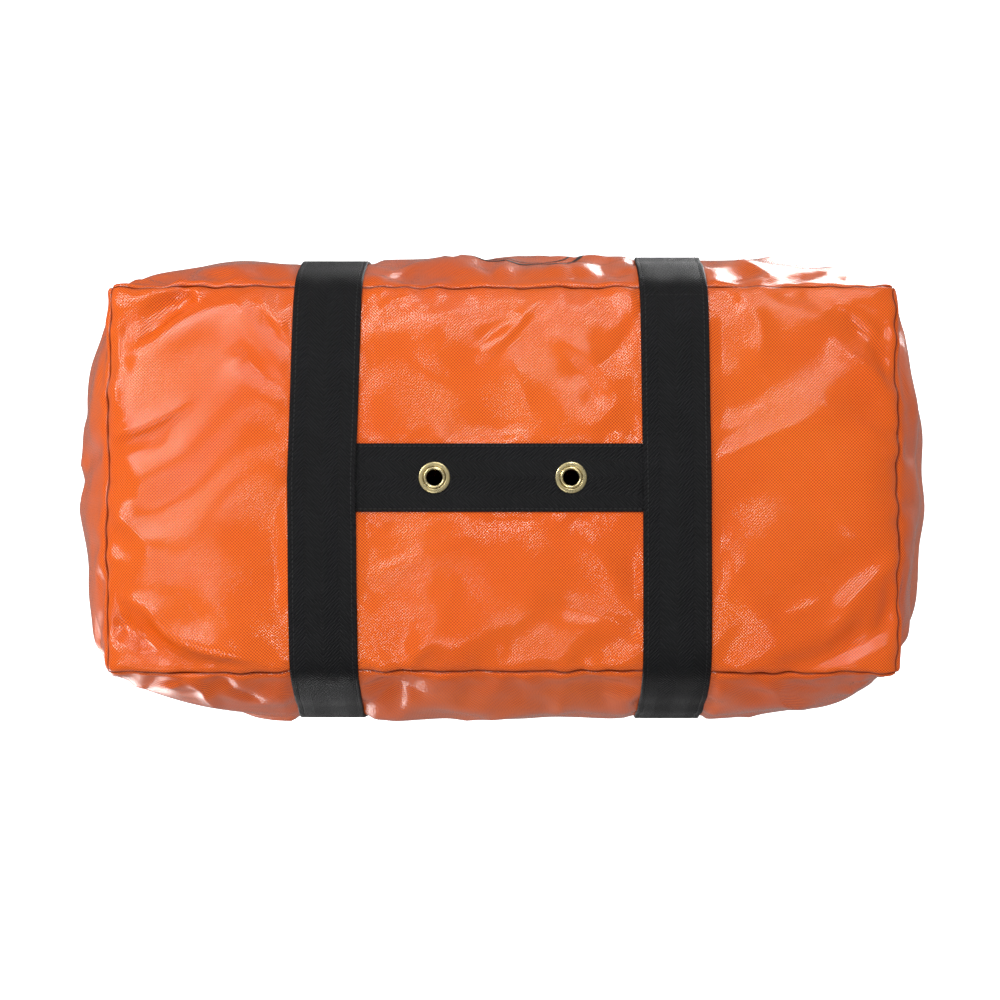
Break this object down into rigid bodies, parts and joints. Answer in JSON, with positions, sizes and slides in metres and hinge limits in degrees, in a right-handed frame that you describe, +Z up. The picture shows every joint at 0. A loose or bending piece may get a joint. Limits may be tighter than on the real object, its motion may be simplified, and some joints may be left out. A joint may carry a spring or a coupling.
{
  "type": "rope storage bag",
  "caption": "Box-shaped rope storage bag of glossy coated fabric with a zipped top that folds open, sewn-on webbing straps, swinging carry handles and drain eyelets in its base.",
  "frame": {"origin": "on the ground under the middle of the bag, which stands on its base", "axes": "+X along the bag towards the end where the zip closes, +Y from the front (the printed side) to the rear, +Z up"},
  "size_m": [0.662, 0.3704, 0.4837],
  "materials": {
    "coated_fabric": "glossy vinyl-coated polyester tarpaulin, fine woven relief",
    "webbing": "black polyester webbing, two herringbone bands, semi-matt",
    "zip_tape": "black woven zip tape, matt",
    "zip_teeth": "black moulded acetal, satin",
    "zip_metal": "nickel-plated zinc, lightly worn",
    "eyelet_brass": "pale plain brass, polished by pressing, fine scratches",
    "seam_binding": "black woven binding tape, matt"
  },
  "bodies": {
    "bag": {"base_panel": "coated_fabric", "front_panel": "coated_fabric", "rear_panel": "coated_fabric", "left_end_panel": "coated_fabric", "right_end_panel": "coated_fabric", "left_top_yoke": "coated_fabric", "right_top_yoke": "coated_fabric", "left_zip_tail": "zip_tape", "right_zip_tail": "zip_tape", "left_tail_teeth": "zip_teeth", "right_tail_teeth": "zip_teeth", "zip_closed_stop": "zip_metal", "zip_open_stop": "zip_metal", "left_zip_end_tab": "coated_fabric", "right_zip_end_tab": "coated_fabric", "left_strap": "webbing", "right_strap": "webbing", "base_cross_web": "webbing", "left_eyelet": "eyelet_brass", "right_eyelet": "eyelet_brass", "left_eyelet_washer": "eyelet_brass", "right_eyelet_washer": "eyelet_brass", "base_seam_binding": "seam_binding", "top_seam_binding": "seam_binding", "corner_seam_bindings": "seam_binding"},
    "front_top": {"front_flap": "coated_fabric", "front_zip_tape": "zip_tape", "front_zip_teeth": "zip_teeth"},
    "rear_top": {"rear_flap": "coated_fabric", "rear_zip_tape": "zip_tape", "rear_zip_teeth": "zip_teeth"},
    "slider": {"zip_slider": "zip_metal"},
    "pull": {"zip_pull": "zip_metal"},
    "front_carry": {"front_handle": "webbing"},
    "rear_carry": {"rear_handle": "webbing"}
  },
  "joints": [
    {"name": "zip_travel", "type": "slide", "parent": "bag", "child": "slider", "axis": [-1, 0, 0], "range_m": [0, 0.464]},
    {"name": "pull_swing", "type": "hinge", "parent": "slider", "child": "pull", "pos_m": [0.232, 0, 0.3275], "axis": [0, -1, 0], "range_deg": [0, 180]},
    {"name": "front_flap_fold", "type": "hinge", "parent": "bag", "child": "front_top", "pos_m": [0, -0.148, 0.3], "axis": [1, 0, 0], "range_deg": [0, 65]},
    {"name": "rear_flap_fold", "type": "hinge", "parent": "bag", "child": "rear_top", "pos_m": [0, 0.148, 0.3], "axis": [-1, 0, 0], "range_deg": [0, 65]},
    {"name": "front_handle_swing", "type": "hinge", "parent": "bag", "child": "front_carry", "pos_m": [0, -0.17071, 0.2506], "axis": [1, 0, 0], "range_deg": [0, 165]},
    {"name": "rear_handle_swing", "type": "hinge", "parent": "bag", "child": "rear_carry", "pos_m": [0, 0.17071, 0.2506], "axis": [-1, 0, 0], "range_deg": [0, 165]}
  ]
}
